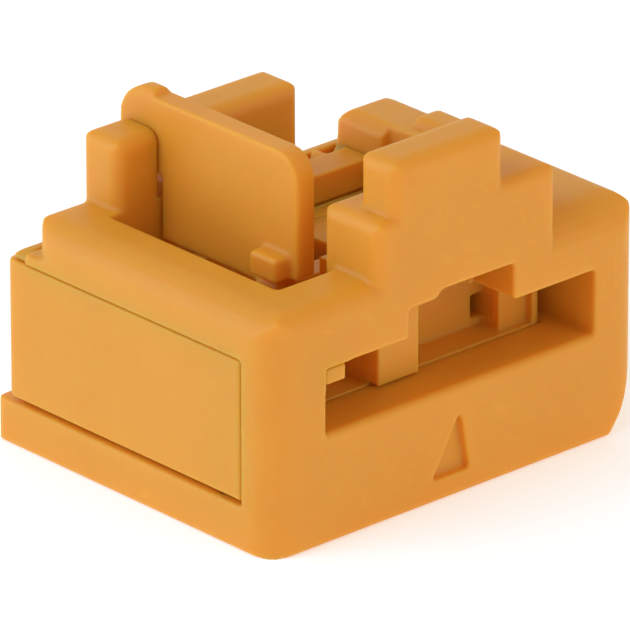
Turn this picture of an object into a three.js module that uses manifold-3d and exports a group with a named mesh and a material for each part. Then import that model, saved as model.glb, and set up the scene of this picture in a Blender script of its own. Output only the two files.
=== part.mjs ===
// Keyed three-pole block wire connector, millimetres, +Z up.
// While it is modelled, x runs right from the left side, y back from the front face and z up
// from the underside. The group at the end moves the origin to the middle of the underside.

import * as THREE from "three";
import * as BufferGeometryUtils from "three/addons/utils/BufferGeometryUtils.js";
import Module from "manifold-3d";

const wasm = await Module();
wasm.setup();

// ---- Driving dimensions -------------------------------------------------------------------

// Overall block
const width = 16.65;
const rimHeight = 8.55;
const frontWall = 2.05;
const leftWall = 2.15;
const rightWall = 2.65;
const backWall = 1.9;
const bodyDepth = 12.2;
const cornerRadius = 1.2;
const rightFrontRadius = 1.0;
const rearCornerRadius = 1.5;
const rimRadius = 0.75;
const leftRimRadius = 1.1;
const rearRimRadius = 0.65;
const rightRimRadius = 1.0;
const rightFrontRimRadius = 1.4;
const footRadius = 0.2;

// Curved lower flank on the right side
const flankRadius = 5.7;
const flankTop = 3.7;

// Tower on the front wall
const towerLeft = 4.75;
const towerRight = 12.8;
const towerHeight = 10.65;
const towerDepth = 2.8;
const towerRadius = 0.45;
const headLeft = 5.45;
const headRight = 10.45;
const headHeight = 12.6;
const headDepth = 1.85;
const headRadius = 0.52;

// Raised part of the back wall, and the gap beside it
const backTowerLeft = 2.5;
const backTowerRight = 10.7;
const backTowerHeight = 11.0;
const backTowerRadius = 0.5;
const gapFloor = 6.2;
const gapFlare = 0.4;

// Stop bump on the right rim
const bumpLength = 2.0;
const bumpWidth = 1.3;
const bumpHeight = 0.38;
const bumpFront = 7.3;
const bumpInset = 0.6;
const bumpRadius = 0.34;

// T-shaped plug opening in the front wall
const slotLeft = 2.46;
const slotRight = 14.56;
const slotFloor = 3.93;
const slotHeight = 2.34;
const slotRaisedLeft = 6.14;
const slotRaisedRight = 10.86;
const slotRaisedHeight = 1.3;
const slotLip = 0.15;
const raisedStepWidth = 1.2;
const raisedStepHeight = 0.27;
const keyWidth = 0.9;
const keyHeight = 0.6;

// Engraved direction triangle
const arrowCentre = 8.05;
const arrowWidth = 1.7;
const arrowLean = 0.42;
const arrowBottom = 0.8;
const arrowHeight = 2.2;
const arrowDepth = 0.35;

// Base band, rear step and underside
const baseHeight = 1.6;
const rearStepHeight = 7.2;
const rearStepDepth = 0.95;
const rearStepRadius = 0.8;
const baseCornerRadius = 0.5;
const baseFlange = 0.65;
const coverThickness = 0.75;
const coverLedge = 0.75;
const coverMarginLeft = 1.3;
const coverMarginRight = 2.6;
const coverMarginFront = 2.2;
const coverMarginRear = 1.1;
const coverRib = 0.5;

// Wire bay, contact carrier and poles
const bayFloor = 3.3;
const floorThickness = 0.7;
const bayWidening = 0.3;
const bayRearLedge = 0.4;
const poleCount = 3;
const polePitch = 3.8;
const poleCentre = 8.46;
const carrierRim = 0.05;
const carrierFloor = 0.5;
const carrierFrontWall = 0.6;
const spigotInset = 1.6;
const recessDepth = 1.3;
const shallowRecessDepth = 0.4;
const hoodRoof = 0.5;
const postLeft = 6.23;
const postWidth = 1.8;
const bridgeLeft = 12.46;
const channelWidth = 2.3;
const wedgeThickness = 0.55;
const wedgeFoot = 0.44;

// Contacts and clamp levers
const contactThickness = 0.25;
const contactWidth = 1.9;
const forkGap = 0.5;
const forkHeight = 0.85;
const forkLength = 1.6;
const tableRise = 0.86;
const tableLead = 0.7;
const tableReach = 2.55;
const toothPitch = 0.3;
const toothHeight = 0.04;
const rodSetback = 2.91;
const rodRise = 0.65;
const rodRadius = 0.3;
const knuckleRadius = 0.55;
const leverWidth = 1.7;
const leverThickness = 0.28;
const jawReach = 2.0;
const tailReach = 1.75;
const tailRise = 0.7;

// Release blade
const bladeLeft = 4.36;
const bladeThickness = 0.87;
const bladeFront = 3.55;
const bladeRear = 12.35;
const bladeTop = 12.05;
const bladeHeadLength = 1.6;
const bladeHeadRise = 0.25;
const bladeTravel = 0.8;
const bladeCrown = 0.02;
const bladeEdge = 0.15;
const bladeCornerRadius = 1.0;
const bladeHeadRadius = 1.4;
const bossWidth = 0.65;
const bossFront = 3.9;
const bossLength = 1.3;
const bossTop = 8.5;
const barDepth = 0.9;
const barLead = 1.7;
const barHeight = 0.7;
const barEndGap = 0.35;
const prongLength = 0.23;
const prongWidth = 1.3;
const prongSetback = 0.2;
const prongRadius = 0.12;
const stopReach = 0.55;
const stopHeight = 0.4;
const stopRoot = 0.2;

// Side latches
const latchFront = 1.5;
const latchBottom = 1.6;
const latchTop = 6.8;
const rightLatchBottom = 4.0;
const latchThickness = 0.85;
const latchTravelGap = 0.55;
const latchGroove = 0.25;
const latchGrooveDepth = 0.3;
const latchInset = 0.05;
const latchEdge = 0.05;
const latchTipRadius = 0.4;
const latchPinRadius = 0.2;
const latchPinY = 2.8;
const latchPinX = 0.62;
const latchBarrelRadius = 0.5;
const latchPinReach = 0.5;
const latchSpringThickness = 0.12;
const latchSpringRise = 0.22;
const latchSpringLength = 3.2;

// Terminal lock comb, wire saddle and rear cover pegs
const lockThickness = 0.9;
const lockDepth = 2.4;
const lockFinLength = 0.6;
const lockFinWidth = 1.0;
const saddleTop = 7.33;
const saddleCrest = 1.3;
const wireRadius = 0.45;
const wirePitch = 1.12;
const pegRadius = 0.35;
const pegLength = 0.9;
const pegSpacing = 6.4;
const pegZ = 4.6;
const keyPegRadius = 0.2;
const keyPegLength = 0.45;

// Clearances
const fit = 0.07;
const slide = 0.09;
const bore = 0.06;
const beyond = 1.0;
const grid = 1e-4;

// ---- Solids -------------------------------------------------------------------------------

// Corners are rounded to a fine grid, so that flush faces are exactly flush.
function toSolid(geometry) {
  const plain = geometry.clone();
  const places = plain.attributes.position.array;
  places.forEach((value, i) => {
    places[i] = Math.round(value / grid) * grid;
  });
  plain.deleteAttribute("normal");
  plain.deleteAttribute("uv");
  const merged = BufferGeometryUtils.mergeVertices(plain, grid / 10);
  return new wasm.Manifold(new wasm.Mesh({
    numProp: 3,
    vertProperties: new Float32Array(merged.attributes.position.array),
    triVerts: new Uint32Array(merged.index.array),
  }));
}

function toGeometry(solid) {
  const mesh = solid.getMesh();
  const geometry = new THREE.BufferGeometry();
  geometry.setAttribute("position", new THREE.BufferAttribute(mesh.vertProperties, 3));
  geometry.setIndex(new THREE.BufferAttribute(mesh.triVerts, 1));
  geometry.computeVertexNormals();
  return geometry;
}

const join = (...solids) => solids.reduce((whole, next) => whole.add(next));
const cut = (body, ...tools) => tools.reduce((rest, tool) => rest.subtract(tool), body);
const meet = (...solids) => solids.reduce((common, next) => common.intersect(next));

// An outline is drawn in (y, z) for axis x, in (x, z) for axis y and in (x, y) for axis z.
function prism(shape, axis, from, to, curveSegments = 3) {
  const geometry = new THREE.ExtrudeGeometry(shape, {
    depth: to - from,
    bevelEnabled: false,
    curveSegments,
  });
  const along = new THREE.Vector3(...{ x: [1, 0, 0], y: [0, -1, 0], z: [0, 0, 1] }[axis]);
  const across = new THREE.Vector3(...{ x: [0, 1, 0], y: [1, 0, 0], z: [1, 0, 0] }[axis]);
  const up = new THREE.Vector3(...{ x: [0, 0, 1], y: [0, 0, 1], z: [0, 1, 0] }[axis]);
  geometry.applyMatrix4(new THREE.Matrix4().makeBasis(across, up, along));
  const start = axis === "y" ? [0, to, 0] : along.multiplyScalar(from).toArray();
  geometry.translate(...start);
  return toSolid(geometry);
}

function block([x0, x1], [y0, y1], [z0, z1]) {
  const geometry = new THREE.BoxGeometry(x1 - x0, y1 - y0, z1 - z0);
  geometry.translate((x0 + x1) / 2, (y0 + y1) / 2, (z0 + z1) / 2);
  return toSolid(geometry);
}

// Closed outline through [a, b, radius] corners, each rounded by its own radius.
function outline(corners) {
  const shape = new THREE.Shape();
  corners.forEach(([a, b, radius = 0], i) => {
    const corner = new THREE.Vector2(a, b);
    const [pa, pb] = corners.at(i - 1);
    const [na, nb] = corners[(i + 1) % corners.length];
    const back = new THREE.Vector2(pa, pb).sub(corner).normalize();
    const ahead = new THREE.Vector2(na, nb).sub(corner).normalize();
    const go = i === 0 ? "moveTo" : "lineTo";
    if (radius === 0) {
      shape[go](a, b);
      return;
    }
    const half = Math.acos(back.dot(ahead)) / 2;
    const first = back.clone().multiplyScalar(radius / Math.tan(half)).add(corner);
    const last = ahead.clone().multiplyScalar(radius / Math.tan(half)).add(corner);
    const bisector = back.clone().add(ahead).normalize();
    const centre = bisector.multiplyScalar(radius / Math.sin(half)).add(corner);
    shape[go](first.x, first.y);
    shape.absarc(
      centre.x, centre.y, radius,
      first.sub(centre).angle(), last.sub(centre).angle(),
      back.cross(ahead) > 0,
    );
  });
  return shape;
}

function rectangle([a0, a1], [b0, b1], radius = 0) {
  return outline([[a0, b0, radius], [a1, b0, radius], [a1, b1, radius], [a0, b1, radius]]);
}

// Block whose upright edges and top edges are rounded by one radius.
function softBlock([x0, x1], [y0, y1], [z0, z1], radius) {
  const plan = rectangle([x0, x1], [y0, y1], radius);
  const across = outline([[x0, z0], [x1, z0], [x1, z1, radius], [x0, z1, radius]]);
  const along = outline([[y0, z0], [y1, z0], [y1, z1, radius], [y0, z1, radius]]);
  return meet(prism(plan, "z", z0, z1), prism(across, "y", y0, y1), prism(along, "x", x0, x1));
}

// Round bar along an axis, placed by the two coordinates across it.
function rod(axis, [a, b], radius, from, to, sides = 16) {
  const shape = new THREE.Shape();
  shape.absarc(a, b, radius, 0, 2 * Math.PI);
  return prism(shape, axis, from, to, sides / 2);
}

// ---- Shared places ------------------------------------------------------------------------

const depth = bodyDepth + rearStepDepth + baseFlange;
const bayRight = width - rightWall;
const bayRear = bodyDepth - backWall;
const slotTop = slotFloor + slotHeight;
const slotRaisedTop = slotTop + slotRaisedHeight;
const hoodTop = slotRaisedTop + hoodRoof;
const carrierFront = frontWall + fit;
const carrierRear = bayRear - 2 * fit - wedgeThickness;
const carrierBottom = bayFloor + fit;
const channelFloor = carrierBottom + carrierFloor;
const recessRear = frontWall + recessDepth;
const channelFront = recessRear + carrierFrontWall;
const contactFloor = channelFloor + fit;
const poles = Array.from(
  { length: poleCount },
  (_, i) => poleCentre + (i - (poleCount - 1) / 2) * polePitch,
);
const undersideTop = bayFloor - floorThickness;
const rearStepFront = bodyDepth + fit;
const rearStepRear = bodyDepth + rearStepDepth;
const tableTop = contactFloor + tableRise;
const rodY = carrierRear - rodSetback;
const rodZ = tableTop + rodRise;
const tailTop = rodZ + tailRise;
const carrierTop = tailTop + carrierRim;
const barBottom = tailTop + fit + prongLength;
const barFront = rodY - barLead - barDepth / 2;
const barRear = barFront + barDepth;
const lockFront = rodY - lockFinLength / 2;
const latchPocket = latchThickness + latchInset + latchTravelGap;

const coverOpening = {
  x: [coverMarginLeft, width - coverMarginRight],
  y: [coverMarginFront, depth - coverMarginRear],
};
const undersideHollow = {
  x: [coverOpening.x[0] + coverLedge, coverOpening.x[1] - coverLedge],
  y: [coverOpening.y[0] + coverLedge, bayRear],
};

const latches = {
  left: { bottom: latchBottom, place: (x) => x },
  right: { bottom: rightLatchBottom, place: (x) => width - x },
};
const between = (a, b) => [Math.min(a, b), Math.max(a, b)];

// ---- Housing ------------------------------------------------------------------------------

// Front view of the block: rounded rim, upright left side, curved lower flank on the right.
function bodySection(top, leftRadius, rightRadius) {
  const shape = new THREE.Shape();
  const flankX = width - flankRadius;
  const start = -Math.asin(flankTop / flankRadius);
  shape.moveTo(footRadius, 0);
  shape.lineTo(flankX + flankRadius * Math.cos(start), 0);
  shape.absarc(flankX, flankTop, flankRadius, start, 0);
  shape.lineTo(width, top - rightRadius);
  shape.absarc(width - rightRadius, top - rightRadius, rightRadius, 0, Math.PI / 2);
  shape.lineTo(leftRadius, top);
  shape.absarc(leftRadius, top - leftRadius, leftRadius, Math.PI / 2, Math.PI);
  shape.lineTo(0, footRadius);
  shape.absarc(footRadius, footRadius, footRadius, Math.PI, 1.5 * Math.PI);
  return shape;
}

// Plan of the block; its rear corners are square up to the rear step and rounded above it.
function bodyPlan(rearRadius) {
  return outline([
    [0, 0, cornerRadius],
    [width, 0, rightFrontRadius],
    [width, bodyDepth, rearRadius],
    [0, bodyDepth, rearRadius],
  ]);
}

function outerBody() {
  const side = (radius) => outline([
    [0, 0, footRadius],
    [bodyDepth, 0],
    [bodyDepth, rimHeight, rearRimRadius],
    [0, rimHeight, radius],
  ]);
  const split = towerRight - 2 * towerRadius;
  const profile = join(
    prism(side(rimRadius), "x", 0, split),
    prism(side(rightFrontRimRadius), "x", split, width),
  );
  const section = bodySection(rimHeight, leftRimRadius, rightRimRadius);
  const upright = join(
    prism(bodyPlan(0), "z", 0, rearStepHeight),
    prism(bodyPlan(rearCornerRadius), "z", rearStepHeight, rimHeight),
  );
  return meet(upright, profile, prism(section, "y", 0, bodyDepth));
}

function baseBand() {
  const plan = outline([
    [0, cornerRadius],
    [width, cornerRadius],
    [width, depth, baseCornerRadius],
    [0, depth, baseCornerRadius],
  ]);
  const section = bodySection(rimHeight, leftRimRadius, rightRimRadius);
  const side = outline([
    [cornerRadius, 0],
    [depth, 0, footRadius],
    [depth, baseHeight, footRadius],
    [cornerRadius, baseHeight],
  ]);
  return meet(
    prism(plan, "z", 0, baseHeight),
    prism(section, "y", 0, depth),
    prism(side, "x", 0, width),
  );
}

function tower() {
  const base = rimHeight - 2 * rimRadius;
  const underHang = block(
    [towerLeft - beyond, towerRight + beyond], [frontWall, towerDepth + beyond],
    [base - beyond, hoodTop + fit],
  );
  return join(
    cut(
      softBlock([towerLeft, towerRight], [0, towerDepth], [base, towerHeight], towerRadius),
      underHang,
    ),
    softBlock([headLeft, headRight], [0, headDepth], [base, headHeight], headRadius),
  );
}

function backTower() {
  const base = rimHeight - rimRadius - backTowerRadius;
  return softBlock(
    [backTowerLeft, backTowerRight], [bayRear, bodyDepth], [base, backTowerHeight], backTowerRadius,
  );
}

function rimBump() {
  const right = width - bumpInset;
  return softBlock(
    [right - bumpWidth, right], [bumpFront, bumpFront + bumpLength],
    [rimHeight - rightRimRadius, rimHeight + bumpHeight], bumpRadius,
  );
}

// Lips on the bay's side walls that hold the release bar down.
function barStops() {
  const y = [barFront - fit, barRear + fit];
  const z = [barBottom + barHeight + fit, barBottom + barHeight + fit + stopHeight];
  return join(
    block([leftWall - stopRoot, leftWall + stopReach], y, z),
    block([bayRight - stopReach, bayRight + bayWidening + stopRoot], y, z),
  );
}

function plugOpening() {
  const lip = outline([
    [-beyond, slotFloor - slotLip - beyond],
    [0, slotFloor - slotLip],
    [slotLip, slotFloor],
    [slotLip, slotTop - slotLip],
    [-beyond, slotTop - slotLip],
  ]);
  const stepEnd = slotRaisedLeft + raisedStepWidth;
  const raised = outline([
    [slotRaisedLeft, slotFloor],
    [slotRaisedRight, slotFloor],
    [slotRaisedRight, slotRaisedTop],
    [stepEnd + raisedStepHeight, slotRaisedTop],
    [stepEnd, slotRaisedTop - raisedStepHeight],
    [slotRaisedLeft, slotRaisedTop - raisedStepHeight],
  ]);
  return join(
    block([slotLeft, slotRight], [-beyond, frontWall + beyond], [slotFloor, slotTop]),
    prism(raised, "y", -beyond, frontWall + beyond),
    prism(lip, "x", slotLeft, slotRight),
  );
}

function directionArrow() {
  const triangle = outline([
    [arrowCentre - arrowWidth / 2, arrowBottom],
    [arrowCentre + arrowWidth / 2, arrowBottom],
    [arrowCentre + arrowLean, arrowBottom + arrowHeight],
  ]);
  return prism(triangle, "y", -beyond, arrowDepth);
}

function wireBay() {
  const deep = block([leftWall, bayRight], [frontWall, bayRear], [bayFloor, headHeight + beyond]);
  const wide = block(
    [leftWall, bayRight + bayWidening], [frontWall, bayRear - bayRearLedge],
    [rearStepHeight, headHeight + beyond],
  );
  return join(deep, wide);
}

function bladeGuide() {
  return block(
    [bladeLeft - slide, bladeLeft + bladeThickness + slide],
    [bayRear - beyond, bodyDepth + beyond],
    [rimHeight, backTowerHeight + beyond],
  );
}

function latchPocketCut({ bottom, place }) {
  const x = between(place(-beyond), place(latchPocket));
  return join(
    block(x, [latchFront, depth + beyond], [bottom, latchTop]),
    rod("z", [place(latchPinX), latchPinY], latchPinRadius + bore,
      bottom - latchPinReach, latchTop + latchPinReach),
  );
}

function undersideCuts() {
  return join(
    block(coverOpening.x, coverOpening.y, [-beyond, coverThickness + fit]),
    block(undersideHollow.x, undersideHollow.y, [-beyond, undersideTop]),
  );
}

function lockWindow(pole, z) {
  const half = lockFinWidth / 2 + fit;
  return block([pole - half, pole + half], [lockFront - fit, lockFront + lockFinLength + fit], z);
}

const pegPlaces = [-1, 1].map((side) => [width / 2 + side * pegSpacing / 2, pegZ]);
const keyPegPlace = [slotLip + keyWidth / 2, slotTop - keyHeight / 2];

function housing() {
  const shell = cut(outerBody(), wireBay());
  const grown = join(shell, baseBand(), tower(), backTower(), rimBump(), barStops());
  const gapShape = outline([
    [backTowerRight, gapFloor],
    [bayRight, gapFloor],
    [bayRight, rimHeight - gapFlare],
    [bayRight + gapFlare, rimHeight],
    [bayRight + gapFlare, backTowerHeight + beyond],
    [backTowerRight, backTowerHeight + beyond],
  ]);
  const gap = prism(gapShape, "y", bayRear - beyond, bodyDepth + beyond);
  const pegHoles = pegPlaces.map((place) =>
    rod("y", place, pegRadius + bore, bodyDepth - pegLength - bore, bodyDepth + beyond));
  const windows = poles.map((pole) => lockWindow(pole, [undersideTop - beyond, bayFloor + beyond]));
  const keyHole = rod("x", keyPegPlace, keyPegRadius + bore,
    slotLeft - keyPegLength - bore, slotLeft + bore);
  return cut(
    grown, plugOpening(), directionArrow(), gap, bladeGuide(), undersideCuts(), keyHole,
    latchPocketCut(latches.left), latchPocketCut(latches.right), ...pegHoles, ...windows,
  );
}

// ---- Covers, saddle and key ---------------------------------------------------------------

function rearCover() {
  const side = outline([
    [rearStepFront, baseHeight + fit],
    [rearStepRear, baseHeight + fit],
    [rearStepRear, rearStepHeight, rearStepRadius],
    [rearStepFront, rearStepHeight],
  ]);
  const plan = outline([
    [0, rearStepFront],
    [width, rearStepFront],
    [width, rearStepRear, rearStepRadius],
    [0, rearStepRear, rearStepRadius],
  ]);
  const slab = meet(
    prism(side, "x", 0, width),
    prism(plan, "z", 0, rearStepHeight),
    prism(bodySection(rearStepHeight, rearStepRadius, rearStepRadius), "y", 0, depth),
  );
  const pockets = Object.values(latches).map(({ bottom, place }) => block(
    between(place(-beyond), place(latchPocket)), [bodyDepth, depth],
    [bottom, latchTop],
  ));
  const pegs = pegPlaces.map((place) =>
    rod("y", place, pegRadius, bodyDepth - pegLength, rearStepFront + pegRadius));
  return join(cut(slab, ...pockets), ...pegs);
}

function baseCover() {
  const plate = block(
    [coverOpening.x[0] + fit, coverOpening.x[1] - fit],
    [coverOpening.y[0] + fit, coverOpening.y[1] - fit],
    [0, coverThickness],
  );
  const rib = coverLedge + fit;
  const frame = cut(
    block(
      [coverOpening.x[0] + rib, coverOpening.x[1] - rib], [coverOpening.y[0] + rib, bayRear - fit],
      [coverThickness / 2, coverThickness + coverRib],
    ),
    block(
      [coverOpening.x[0] + 2 * rib, coverOpening.x[1] - 2 * rib],
      [coverOpening.y[0] + 2 * rib, bayRear - rib],
      [coverThickness / 2 - beyond, coverThickness + coverRib + beyond],
    ),
  );
  return join(plate, frame);
}

function wireSaddle() {
  const body = block(
    [backTowerRight + fit, bayRight - fit], [bayRear + fit, bodyDepth - fit],
    [gapFloor + fit, saddleTop],
  );
  const middle = (backTowerRight + bayRight) / 2;
  const crest = bayRear + saddleCrest;
  const grooves = [-1, 0, 1].map((i) =>
    rod("y", [middle + i * wirePitch, saddleTop], wireRadius, crest, bodyDepth + beyond));
  return cut(body, ...grooves);
}

function codingKey() {
  const z = [slotTop - keyHeight, slotTop - fit];
  return join(
    block([slotLeft + fit, slotLeft + keyWidth], [fit, spigotInset - fit], z),
    rod("x", keyPegPlace, keyPegRadius,
      slotLeft - keyPegLength, slotLeft + keyWidth / 2),
  );
}

// ---- Contact carrier and what it holds ----------------------------------------------------

function contactCarrier() {
  const x = [leftWall + fit, bayRight - fit];
  const hood = [slotRaisedLeft + fit, slotRaisedRight - fit];
  const tray = block(x, [carrierFront, carrierRear], [carrierBottom, carrierTop]);
  const roof = block(x, [carrierFront, channelFront], [carrierTop - fit, slotTop + hoodRoof]);
  const raised = block(
    [hood[0] - hoodRoof, hood[1] + hoodRoof], [carrierFront, channelFront],
    [carrierTop, hoodTop],
  );
  const post = block(
    [postLeft, postLeft + postWidth], [spigotInset, channelFront],
    [slotFloor + fit, slotRaisedTop - raisedStepHeight - fit],
  );
  const recessLeft = block(
    [slotLeft + 2 * hoodRoof, postLeft], [spigotInset - beyond, recessRear],
    [slotFloor, slotTop - fit],
  );
  const recessRight = block(
    [postLeft + postWidth, bridgeLeft], [spigotInset - beyond, recessRear],
    [slotFloor, slotTop - fit],
  );
  const recessShallow = block(
    [bridgeLeft - fit, bayRight - fit - hoodRoof / 2], [spigotInset, frontWall + shallowRecessDepth],
    [slotFloor, slotTop - fit],
  );
  const recessRaised = block(
    [postLeft + postWidth, hood[1]], [spigotInset - beyond, recessRear],
    [slotFloor, slotRaisedTop - fit],
  );
  const slits = poles.map((pole) => block(
    [pole - forkGap / 2, pole + forkGap / 2], [recessRear - beyond / 2, channelFront + beyond / 2],
    [contactFloor + contactThickness, contactFloor + contactThickness + forkHeight],
  ));
  const channels = poles.map((pole) => block(
    [pole - channelWidth / 2, pole + channelWidth / 2], [channelFront, carrierRear + beyond],
    [channelFloor, headHeight],
  ));
  const barGroove = block(
    [leftWall, bayRight], [barFront - slide, barRear + slide],
    [barBottom - bladeTravel - slide, headHeight],
  );
  const rodHole = rod("x", [rodY, rodZ], rodRadius + bore, leftWall - beyond, bayRight + beyond);
  const windows = poles.map((pole) =>
    lockWindow(pole, [carrierBottom - beyond, channelFloor + beyond / 4]));
  const shell = cut(
    join(tray, roof, raised), recessLeft, recessRight, recessShallow, recessRaised,
  );
  return cut(join(shell, post), ...slits, ...channels, barGroove, rodHole, ...windows);
}

function contact(pole) {
  const half = contactWidth / 2;
  const x = [pole - half, pole + half];
  const forkFront = channelFront + fit;
  const forkTop = contactFloor + contactThickness + forkHeight;
  const tableFront = rodY - tableLead;
  const tableRear = rodY + tableReach;
  const floor = block(
    x, [forkFront, tableFront + contactThickness], [contactFloor, contactFloor + contactThickness],
  );
  const riser = block(x, [tableFront, tableFront + contactThickness], [contactFloor, tableTop]);
  const table = block(x, [tableFront, tableRear], [tableTop - contactThickness, tableTop]);
  const teeth = [1, 2, 3].map((i) => block(
    x, [tableRear - i * toothPitch, tableRear - (i - 1 / 3) * toothPitch],
    [tableTop - toothHeight, tableTop + toothHeight],
  ));
  const fingers = [-1, 1].map((side) => block(
    between(pole + side * forkGap / 2, pole + side * (forkGap / 2 + contactThickness)),
    [forkFront, forkFront + forkLength], [contactFloor, forkTop],
  ));
  return join(floor, riser, table, ...teeth, ...fingers);
}

function clampLever(pole) {
  const jawZ = tableTop + fit;
  const tailBottom = tailTop - leverThickness;
  const profile = outline([
    [rodY - tailReach, tailBottom],
    [rodY - knuckleRadius, rodZ + knuckleRadius - leverThickness],
    [rodY, rodZ],
    [rodY + knuckleRadius, rodZ - leverThickness],
    [rodY + jawReach - leverThickness, jawZ],
    [rodY + jawReach, jawZ],
    [rodY + jawReach, jawZ + leverThickness],
    [rodY + knuckleRadius, rodZ + leverThickness / 2],
    [rodY, rodZ + knuckleRadius],
    [rodY - tailReach / 2, tailTop],
    [rodY - tailReach, tailTop],
  ]);
  const x = [pole - leverWidth / 2, pole + leverWidth / 2];
  return cut(
    join(prism(profile, "x", ...x), rod("x", [rodY, rodZ], knuckleRadius, ...x, 20)),
    rod("x", [rodY, rodZ], rodRadius + bore, x[0] - beyond, x[1] + beyond),
  );
}

function clampRod() {
  return rod("x", [rodY, rodZ], rodRadius, leftWall + 2 * fit, bayRight - 2 * fit);
}

function carrierWedge() {
  const front = carrierRear + fit;
  const side = outline([
    [front, carrierBottom],
    [front + wedgeFoot, carrierBottom],
    [front + wedgeThickness, carrierTop],
    [front, carrierTop],
  ]);
  return prism(side, "x", leftWall + fit, bayRight - fit);
}

function terminalLock() {
  const plate = block(
    [undersideHollow.x[0] + fit, undersideHollow.x[1] - fit],
    [rodY - lockDepth / 2, rodY + lockDepth / 2],
    [undersideTop - fit - lockThickness, undersideTop - fit],
  );
  const fins = poles.map((pole) => block(
    [pole - lockFinWidth / 2, pole + lockFinWidth / 2], [lockFront, lockFront + lockFinLength],
    [undersideTop - fit - lockThickness / 2, tableTop - contactThickness - fit],
  ));
  return join(plate, ...fins);
}

// ---- Release blade ------------------------------------------------------------------------

function releaseBlade() {
  const round = bladeThickness / 2 - bladeCrown;
  const rearBottom = rimHeight + bladeTravel + slide;
  const side = outline([
    [bladeFront, slotTop + hoodRoof + bladeTravel + slide, bladeEdge],
    [barFront - slide, slotTop + hoodRoof + bladeTravel + slide],
    [barFront - slide, carrierTop + bladeTravel + slide],
    [bayRear - slide, carrierTop + bladeTravel + slide],
    [bayRear - slide, rearBottom],
    [bladeRear, rearBottom],
    [bladeRear, bladeTop + bladeHeadRise, bladeHeadRadius],
    [bladeRear - bladeHeadLength, bladeTop + bladeHeadRise, bladeEdge],
    [bladeRear - bladeHeadLength - bladeHeadRise / 2, bladeTop],
    [bladeFront, bladeTop, bladeCornerRadius],
  ]);
  const low = carrierTop;
  const x = [bladeLeft, bladeLeft + bladeThickness];
  const top = bladeTop + bladeHeadRise;
  const plateEnd = outline([[x[0], low], [x[1], low], [x[1], top, round], [x[0], top, round]]);
  const plan = rectangle(x, [bladeFront, bladeRear], bladeEdge);
  const plate = meet(
    prism(side, "x", ...x),
    prism(plateEnd, "y", bladeFront, bladeRear),
    prism(plan, "z", low, top),
  );
  const boss = softBlock(
    [bladeLeft - bossWidth, bladeLeft + bladeThickness / 2], [bossFront, bossFront + bossLength],
    [slotTop + hoodRoof + bladeTravel + slide, bossTop], bladeEdge,
  );
  const web = block(x, [barFront, barRear], [barBottom, bossTop]);
  const bar = block(
    [leftWall + barEndGap, bayRight - barEndGap], [barFront, barRear],
    [barBottom, barBottom + barHeight],
  );
  const prongs = poles.map((pole) => prism(
    outline([
      [barFront + prongSetback, barBottom + barHeight / 2],
      [barFront + prongSetback, tailTop + fit, prongRadius],
      [barRear - prongSetback, tailTop + fit, prongRadius],
      [barRear - prongSetback, barBottom + barHeight / 2],
    ]),
    "x", pole - prongWidth / 2, pole + prongWidth / 2,
  ));
  return join(plate, boss, web, bar, ...prongs);
}

// ---- Side latches -------------------------------------------------------------------------

function latch({ bottom, place }) {
  const z = [bottom + latchGroove, latchTop - fit];
  const inner = latchInset + latchThickness;
  const plan = outline([
    [place(latchInset), latchFront + fit, latchEdge],
    [place(inner), latchFront + fit, latchEdge],
    [place(inner), rearStepRear, latchTipRadius / 2],
    [place(latchInset), rearStepRear, latchTipRadius],
  ]);
  const tonguePlan = rectangle(
    between(place(latchInset + latchGrooveDepth), place(inner)),
    [latchFront + fit, rearStepRear - latchTipRadius],
  );
  const tongue = prism(tonguePlan, "z", bottom + fit, z[0] + fit);
  const arm = join(prism(plan, "z", ...z), tongue);
  const barrel = rod("z", [place(latchPinX), latchPinY], latchBarrelRadius, ...z, 20);
  return cut(
    join(arm, barrel),
    rod("z", [place(latchPinX), latchPinY], latchPinRadius + bore, z[0] - beyond, z[1] + beyond),
  );
}

function latchPin({ bottom, place }) {
  return rod("z", [place(latchPinX), latchPinY], latchPinRadius,
    bottom - latchPinReach + fit, latchTop + latchPinReach - fit);
}

// Bowed leaf lying against the back of the latch pocket.
function latchSpring({ bottom, place }) {
  const foot = latchPocket - fit;
  const start = latchPinY + 2 * latchBarrelRadius;
  const end = start + latchSpringLength;
  const middle = (start + end) / 2;
  const shape = new THREE.Shape();
  const crest = foot - latchSpringRise * 2;
  const thick = latchSpringThickness;
  shape.moveTo(place(foot), start);
  shape.quadraticCurveTo(place(crest), middle, place(foot), end);
  shape.lineTo(place(foot - thick), end);
  shape.quadraticCurveTo(place(crest - thick), middle, place(foot - thick), start);
  const margin = (latchTop - bottom) / 4;
  return prism(shape, "z", bottom + margin, latchTop - margin, 10);
}

// ---- Materials and assembly ---------------------------------------------------------------

const plastic = (color) => () =>
  new THREE.MeshStandardMaterial({ color, roughness: 0.48, metalness: 0 });
const metal = (color, roughness) => () =>
  new THREE.MeshStandardMaterial({ color, roughness, metalness: 1 });
const orange = plastic(0xd9973f);
const brass = metal(0xc9a24a, 0.35);
const springSteel = metal(0xa9adb2, 0.3);
const pinSteel = metal(0x8f9398, 0.25);

const connector = new THREE.Group();

function addPiece(name, solid, material) {
  const mesh = new THREE.Mesh(toGeometry(solid), material());
  mesh.name = name;
  connector.add(mesh);
}

addPiece("housing", housing(), orange);
addPiece("rear_cover", rearCover(), orange);
addPiece("base_cover", baseCover(), orange);
addPiece("wire_saddle", wireSaddle(), orange);
addPiece("coding_key", codingKey(), orange);
addPiece("contact_carrier", contactCarrier(), orange);
addPiece("carrier_wedge", carrierWedge(), orange);
addPiece("terminal_lock", terminalLock(), orange);
addPiece("release_blade", releaseBlade(), orange);
addPiece("clamp_rod", clampRod(), pinSteel);

poles.forEach((pole, i) => {
  addPiece(`contact_${i + 1}`, contact(pole), brass);
  addPiece(`clamp_lever_${i + 1}`, clampLever(pole), springSteel);
});

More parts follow.
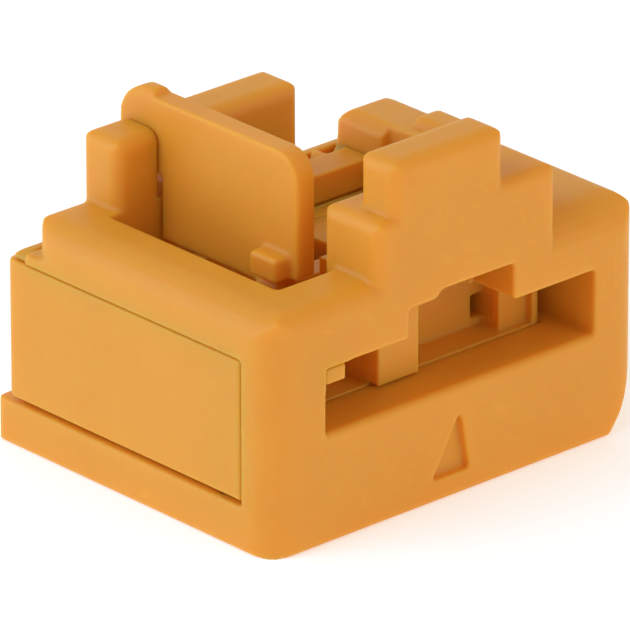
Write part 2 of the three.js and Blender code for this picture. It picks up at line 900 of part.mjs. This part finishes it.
for (const [name, side] of Object.entries(latches)) {
  addPiece(`${name}_latch`, latch(side), orange);
  addPiece(`${name}_latch_pin`, latchPin(side), pinSteel);
  addPiece(`${name}_latch_spring`, latchSpring(side), springSteel);
}

connector.position.set(-width / 2, -depth / 2, 0);

export default connector;
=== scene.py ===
"""Looks for the keyed block wire connector: soft moulded plastic, brass contacts, steel clamps."""

import math

import bmesh
import bpy
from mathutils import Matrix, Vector
from mathutils.bvhtree import BVHTree


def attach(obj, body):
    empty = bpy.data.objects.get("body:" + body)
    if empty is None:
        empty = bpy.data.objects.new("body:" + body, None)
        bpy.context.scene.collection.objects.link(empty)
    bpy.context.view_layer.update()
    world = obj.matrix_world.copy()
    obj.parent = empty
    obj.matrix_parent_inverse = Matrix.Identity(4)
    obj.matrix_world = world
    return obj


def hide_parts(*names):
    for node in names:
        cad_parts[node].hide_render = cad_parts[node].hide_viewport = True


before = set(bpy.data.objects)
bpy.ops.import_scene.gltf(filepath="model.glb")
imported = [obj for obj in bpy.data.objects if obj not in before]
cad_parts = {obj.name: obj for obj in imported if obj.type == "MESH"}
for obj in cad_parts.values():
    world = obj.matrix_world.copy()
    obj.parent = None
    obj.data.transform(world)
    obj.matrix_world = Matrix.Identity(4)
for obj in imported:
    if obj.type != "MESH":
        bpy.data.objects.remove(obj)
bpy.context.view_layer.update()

MM = 0.001

# ---- Camera and framing ---------------------------------------------------------------------

VIEW_AZIMUTH = math.radians(-42.3)
VIEW_ELEVATION = math.radians(23.6)
LENS_MM = 600.0
SENSOR_MM = 36.0
FRAME_WIDTH = 21.0 * MM
AIM = Vector((-0.105, 0.0, 4.29)) * MM

# ---- Moulded skins --------------------------------------------------------------------------

# Lengths in millimetres: remesh cells, the latches' swelling towards their pockets, and the
# distances to another piece or to the floor within which an edge stays crisp.
SKIN_VOXEL = 0.07
FINE_VOXEL = 0.05
LATCH_SWELL = 0.04
CRISP_GAP = 0.10
SOFT_GAP = 0.35
FOOT_HEIGHT = 0.25

SKIN_ROUNDS = 11
BLADE_ROUNDS = 6
FINE_ROUNDS = 3
KEPT_FACES = 0.35


def direction(azimuth, elevation):
    """Unit vector from the object towards a viewer at that azimuth and elevation."""
    return Vector((
        math.sin(azimuth) * math.cos(elevation),
        -math.cos(azimuth) * math.cos(elevation),
        math.sin(elevation),
    ))


def link(obj):
    bpy.context.scene.collection.objects.link(obj)
    return obj


def millimetre_copy(name, node):
    """A copy of a CAD node's mesh in millimetres, with its split corners merged."""
    mesh = bpy.data.meshes.new(name)
    edit = bmesh.new()
    edit.from_mesh(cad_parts[node].data)
    bmesh.ops.scale(edit, vec=(1 / MM,) * 3, verts=edit.verts)
    bmesh.ops.remove_doubles(edit, verts=edit.verts, dist=1e-4)
    edit.to_mesh(mesh)
    edit.free()
    return link(bpy.data.objects.new(name, mesh))


def settle(obj):
    """Applies an object's modifiers to its mesh."""
    graph = bpy.context.evaluated_depsgraph_get()
    mesh = bpy.data.meshes.new_from_object(obj.evaluated_get(graph))
    obj.modifiers.clear()
    obj.data = mesh


def to_metres(obj):
    """Scales a millimetre mesh to metres and shades it smooth."""
    edit = bmesh.new()
    edit.from_mesh(obj.data)
    bmesh.ops.scale(edit, vec=(MM,) * 3, verts=edit.verts)
    edit.to_mesh(obj.data)
    edit.free()
    for face in obj.data.polygons:
        face.use_smooth = True


def neighbours_of(node):
    """Search tree, in millimetres, over every CAD node but one."""
    corners, faces = [], []
    for name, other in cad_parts.items():
        if name == node:
            continue
        first = len(corners)
        corners.extend(v.co / MM for v in other.data.vertices)
        faces.extend([first + i for i in face.vertices] for face in other.data.polygons)
    return BVHTree.FromPolygons(corners, faces)


def ramp(value, low, high):
    return min(max((value - low) / (high - low), 0.0), 1.0)


def free_edges(obj, node):
    """Vertex group that is 1 on free surfaces and 0 at close fits and at the foot."""
    others = neighbours_of(node)
    group = obj.vertex_groups.new(name="free")
    for vertex in obj.data.vertices:
        gap = others.find_nearest(vertex.co, SOFT_GAP)[3]
        weight = ramp(vertex.co.z, 0.0, FOOT_HEIGHT)
        if gap is not None:
            weight *= ramp(gap, CRISP_GAP, SOFT_GAP)
        group.add([vertex.index], weight, "REPLACE")
    return group


def moulded(node, body, material, voxel=SKIN_VOXEL, rounds=SKIN_ROUNDS, swell=0.0):
    """A plastic piece with its free edges softened as a mould leaves them, standing for its node."""
    piece = millimetre_copy(node + "_skin", node)
    skin = piece.modifiers.new("skin", "REMESH")
    skin.mode = "VOXEL"
    skin.voxel_size = voxel
    settle(piece)
    soften = piece.modifiers.new("soften", "SMOOTH")
    soften.factor = 0.5
    soften.iterations = rounds
    soften.vertex_group = free_edges(piece, node).name
    grown = piece.modifiers.new("grown", "DISPLACE")
    grown.strength = swell
    grown.mid_level = 0.0
    thin = piece.modifiers.new("thin", "DECIMATE")
    thin.ratio = KEPT_FACES
    settle(piece)
    to_metres(piece)
    piece.vertex_groups.clear()
    piece.data.materials.append(material)
    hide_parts(node)
    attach(piece, body)
    return piece


# ---- Materials ------------------------------------------------------------------------------

# Depths in millimetres
GRAIN_DEPTH = 0.006
DRAW_LINE_DEPTH = 0.004
GLOW_DEPTH = 1.2

# Painted highlight: how much lighter than the plastic's own colour the convex edges are tinted.
EDGE_HIGHLIGHT_TINT = 1.15


class Nodes:
    """Small helper that adds and wires shader nodes in one material."""

    def __init__(self, name):
        self.material = bpy.data.materials.new(name)
        self.material.use_nodes = True
        self.tree = self.material.node_tree
        self.tree.nodes.clear()
        self.output = self.tree.nodes.new("ShaderNodeOutputMaterial")
        self.shader = self.add("BsdfPrincipled")
        self.join(self.shader, "BSDF", self.output, "Surface")

    def add(self, kind):
        return self.tree.nodes.new("ShaderNode" + kind)

    def join(self, source, output, target, socket):
        self.tree.links.new(source.outputs[output], target.inputs[socket])

    def millimetres(self):
        """Object coordinates scaled so that one unit is a millimetre."""
        place = self.add("TexCoord")
        scale = self.add("Mapping")
        scale.inputs["Scale"].default_value = (1 / MM,) * 3
        self.join(place, "Object", scale, "Vector")
        return scale

    def noise(self, place, scale, detail=3.0, roughness=0.55):
        cloud = self.add("TexNoise")
        cloud.inputs["Scale"].default_value = scale
        cloud.inputs["Detail"].default_value = detail
        cloud.inputs["Roughness"].default_value = roughness
        self.join(place, "Vector", cloud, "Vector")
        return cloud

    def ramp(self, source, output, low, high, start=0.3, end=0.7):
        """Colour ramp between two colours, driven by a factor."""
        ramp = self.add("ValToRGB")
        ramp.color_ramp.elements[0].position = start
        ramp.color_ramp.elements[0].color = (*low, 1.0)
        ramp.color_ramp.elements[1].position = end
        ramp.color_ramp.elements[1].color = (*high, 1.0)
        self.join(source, output, ramp, "Fac")
        return ramp

    def spread(self, source, output, low, high):
        """Maps a 0 to 1 factor to the range from low to high."""
        spread = self.add("MapRange")
        spread.inputs["To Min"].default_value = low
        spread.inputs["To Max"].default_value = high
        self.join(source, output, spread, "Value")
        return spread

    def edge_highlight(self, place):
        """Factor for a painted highlight: above zero in patches along the convex edges."""
        shape = self.add("NewGeometry")
        edges = self.spread(shape, "Pointiness", 0.0, 0.4)
        edges.inputs["From Min"].default_value = 0.62
        edges.inputs["From Max"].default_value = 0.85
        patches = self.noise(place, 2.6, 4.0)
        highlight_patches = self.spread(patches, "Fac", 0.0, 0.6)
        highlight_patches.inputs["From Min"].default_value = 0.35
        highlight_patches.inputs["From Max"].default_value = 0.70
        self.join(edges, "Result", highlight_patches, "To Max")
        return highlight_patches


def plastic(name, colour, deep):
    """Satin moulded plastic: slight colour drift, fine grain, a painted highlight in patches along
    the convex edges, soft inside glow.
    """
    n = Nodes(name)
    place = n.millimetres()
    drift = n.noise(place, 0.35, 4.0)
    tint = n.ramp(drift, "Fac", deep, colour, 0.25, 0.75)
    # Painted highlight: the convex edges are mixed towards a lighter tint, in patches.
    second_tone = n.add("MixRGB")
    second_tone.inputs["Color2"].default_value = (*(EDGE_HIGHLIGHT_TINT * part for part in colour), 1.0)
    n.join(n.edge_highlight(place), "Result", second_tone, "Fac")
    n.join(tint, "Color", second_tone, "Color1")
    n.join(second_tone, "Color", n.shader, "Base Color")
    patches = n.noise(place, 1.4, 5.0)
    gloss = n.spread(patches, "Fac", 0.40, 0.56)
    n.join(gloss, "Result", n.shader, "Roughness")
    fine = n.noise(place, 22.0, 6.0, 0.65)
    bump = n.add("Bump")
    bump.inputs["Strength"].default_value = 0.35
    bump.inputs["Distance"].default_value = GRAIN_DEPTH * MM
    n.join(fine, "Fac", bump, "Height")
    n.join(bump, "Normal", n.shader, "Normal")
    n.shader.inputs["IOR"].default_value = 1.40
    n.shader.inputs["Subsurface Weight"].default_value = 0.85
    n.shader.inputs["Subsurface Radius"].default_value = (1.0, 0.40, 0.12)
    n.shader.inputs["Subsurface Scale"].default_value = GLOW_DEPTH * MM
    return n.material


def metal(name, colour, second_tone, roughness, grain_scale):
    """Stamped or drawn metal with fine draw lines and handling marks."""
    n = Nodes(name)
    place = n.millimetres()
    marks = n.noise(place, 2.2, 6.0)
    tint = n.ramp(marks, "Fac", second_tone, colour)
    n.join(tint, "Color", n.shader, "Base Color")
    n.shader.inputs["Metallic"].default_value = 1.0
    lines = n.add("Mapping")
    lines.inputs["Scale"].default_value = grain_scale
    n.join(place, "Vector", lines, "Vector")
    streaks = n.noise(lines, 6.0, 4.0)
    gloss = n.spread(streaks, "Fac", roughness - 0.08, roughness + 0.12)
    n.join(gloss, "Result", n.shader, "Roughness")
    bump = n.add("Bump")
    bump.inputs["Strength"].default_value = 0.25
    bump.inputs["Distance"].default_value = DRAW_LINE_DEPTH * MM
    n.join(streaks, "Fac", bump, "Height")
    n.join(bump, "Normal", n.shader, "Normal")
    return n.material


case_plastic = plastic("case_plastic", (0.77, 0.315, 0.023), (0.74, 0.295, 0.019))
insert_plastic = plastic("insert_plastic", (0.80, 0.33, 0.028), (0.76, 0.31, 0.024))
contact_brass = metal("contact_brass", (0.80, 0.60, 0.26), (0.66, 0.46, 0.18), 0.30, (1, 8, 8))
spring_steel = metal("spring_steel", (0.30, 0.28, 0.26), (0.22, 0.20, 0.19), 0.42, (8, 1, 8))
pin_steel = metal("pin_steel", (0.52, 0.53, 0.55), (0.42, 0.43, 0.45), 0.22, (1, 10, 10))

# ---- Pieces ---------------------------------------------------------------------------------

CASE_PIECES = {
    "housing": "case",
    "rear_cover": "case",
    "base_cover": "case",
    "release_blade": "blade",
    "left_latch": "latch_left",
    "right_latch": "latch_right",
}
FINE_CASE_PIECES = ["wire_saddle", "coding_key"]
INSERT_PIECES = ["contact_carrier", "carrier_wedge", "terminal_lock"]

for node, body in CASE_PIECES.items():
    rounds = BLADE_ROUNDS if body == "blade" else SKIN_ROUNDS
    if "latch" in node:
        moulded(node, body, case_plastic, FINE_VOXEL, rounds, LATCH_SWELL)
    else:
        moulded(node, body, case_plastic, SKIN_VOXEL, rounds)
for node in FINE_CASE_PIECES:
    moulded(node, "case", case_plastic, FINE_VOXEL, FINE_ROUNDS)
for node in INSERT_PIECES:
    moulded(node, "case", insert_plastic, FINE_VOXEL, FINE_ROUNDS)

POLES = (1, 2, 3)
SIDES = ("left", "right")
METAL_PIECES = {
    "clamp_rod": pin_steel,
    **{f"contact_{pole}": contact_brass for pole in POLES},
    **{f"clamp_lever_{pole}": spring_steel for pole in POLES},
    **{f"{side}_latch_pin": pin_steel for side in SIDES},
    **{f"{side}_latch_spring": spring_steel for side in SIDES},
}
for node, material in METAL_PIECES.items():
    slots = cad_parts[node].data.materials
    slots.clear()
    slots.append(material)

# ---- Studio ---------------------------------------------------------------------------------

FLOOR_HALF = 0.6
CLOUDY = (0.46, 0.70, 1.0)
DAYLIGHT = (0.74, 0.92, 1.0)


def studio_floor():
    turns = [(-1, -1), (1, -1), (1, 1), (-1, 1)]
    corners = [(x * FLOOR_HALF, y * FLOOR_HALF, 0) for x, y in turns]
    mesh = bpy.data.meshes.new("floor")
    mesh.from_pydata(corners, [], [(0, 1, 2, 3)])
    floor = link(bpy.data.objects.new("floor", mesh))
    paint = Nodes("floor_paint")
    paint.shader.inputs["Base Color"].default_value = (0.86, 0.86, 0.86, 1)
    paint.shader.inputs["Emission Color"].default_value = (1, 0.98, 0.94, 1)
    paint.shader.inputs["Emission Strength"].default_value = 0.36
    paint.shader.inputs["Roughness"].default_value = 0.9
    mesh.materials.append(paint.material)


def softbox(name, azimuth, elevation, distance, size, power, colour):
    """A square lamp facing the object; angles in degrees, lengths in metres, power in watts."""
    lamp = bpy.data.lights.new(name, "AREA")
    lamp.shape = "SQUARE"
    lamp.size = size
    lamp.energy = power
    lamp.color = colour
    box = link(bpy.data.objects.new(name, lamp))
    aside = direction(math.radians(azimuth), math.radians(elevation))
    box.location = AIM + aside * distance
    box.rotation_euler = aside.to_track_quat("Z", "Y").to_euler()


def studio_world():
    world = bpy.data.worlds.new("studio")
    bpy.context.scene.world = world
    world.use_nodes = True
    background = world.node_tree.nodes["Background"]
    background.inputs["Color"].default_value = (1.0, 0.95, 0.84, 1)
    background.inputs["Strength"].default_value = 0.60


def photo_camera():
    lens = bpy.data.cameras.new("camera")
    lens.lens = LENS_MM
    lens.sensor_width = SENSOR_MM
    lens.clip_start = 0.01
    camera = link(bpy.data.objects.new("camera", lens))
    aside = direction(VIEW_AZIMUTH, VIEW_ELEVATION)
    camera.location = AIM + aside * (FRAME_WIDTH * LENS_MM / SENSOR_MM)
    camera.rotation_euler = aside.to_track_quat("Z", "Y").to_euler()
    bpy.context.scene.camera = camera


studio_floor()
studio_world()
softbox("key", -100, 42, 0.25, 0.14, 0.30, CLOUDY)
softbox("left_rim", -139, 12, 0.3, 0.22, 0.31, CLOUDY)
softbox("right_rim", 138, 26, 0.3, 0.22, 0.06, CLOUDY)
softbox("front", 15, 20, 0.3, 0.20, 0.18, DAYLIGHT)
photo_camera()
bpy.context.scene.view_settings.view_transform = "Standard"
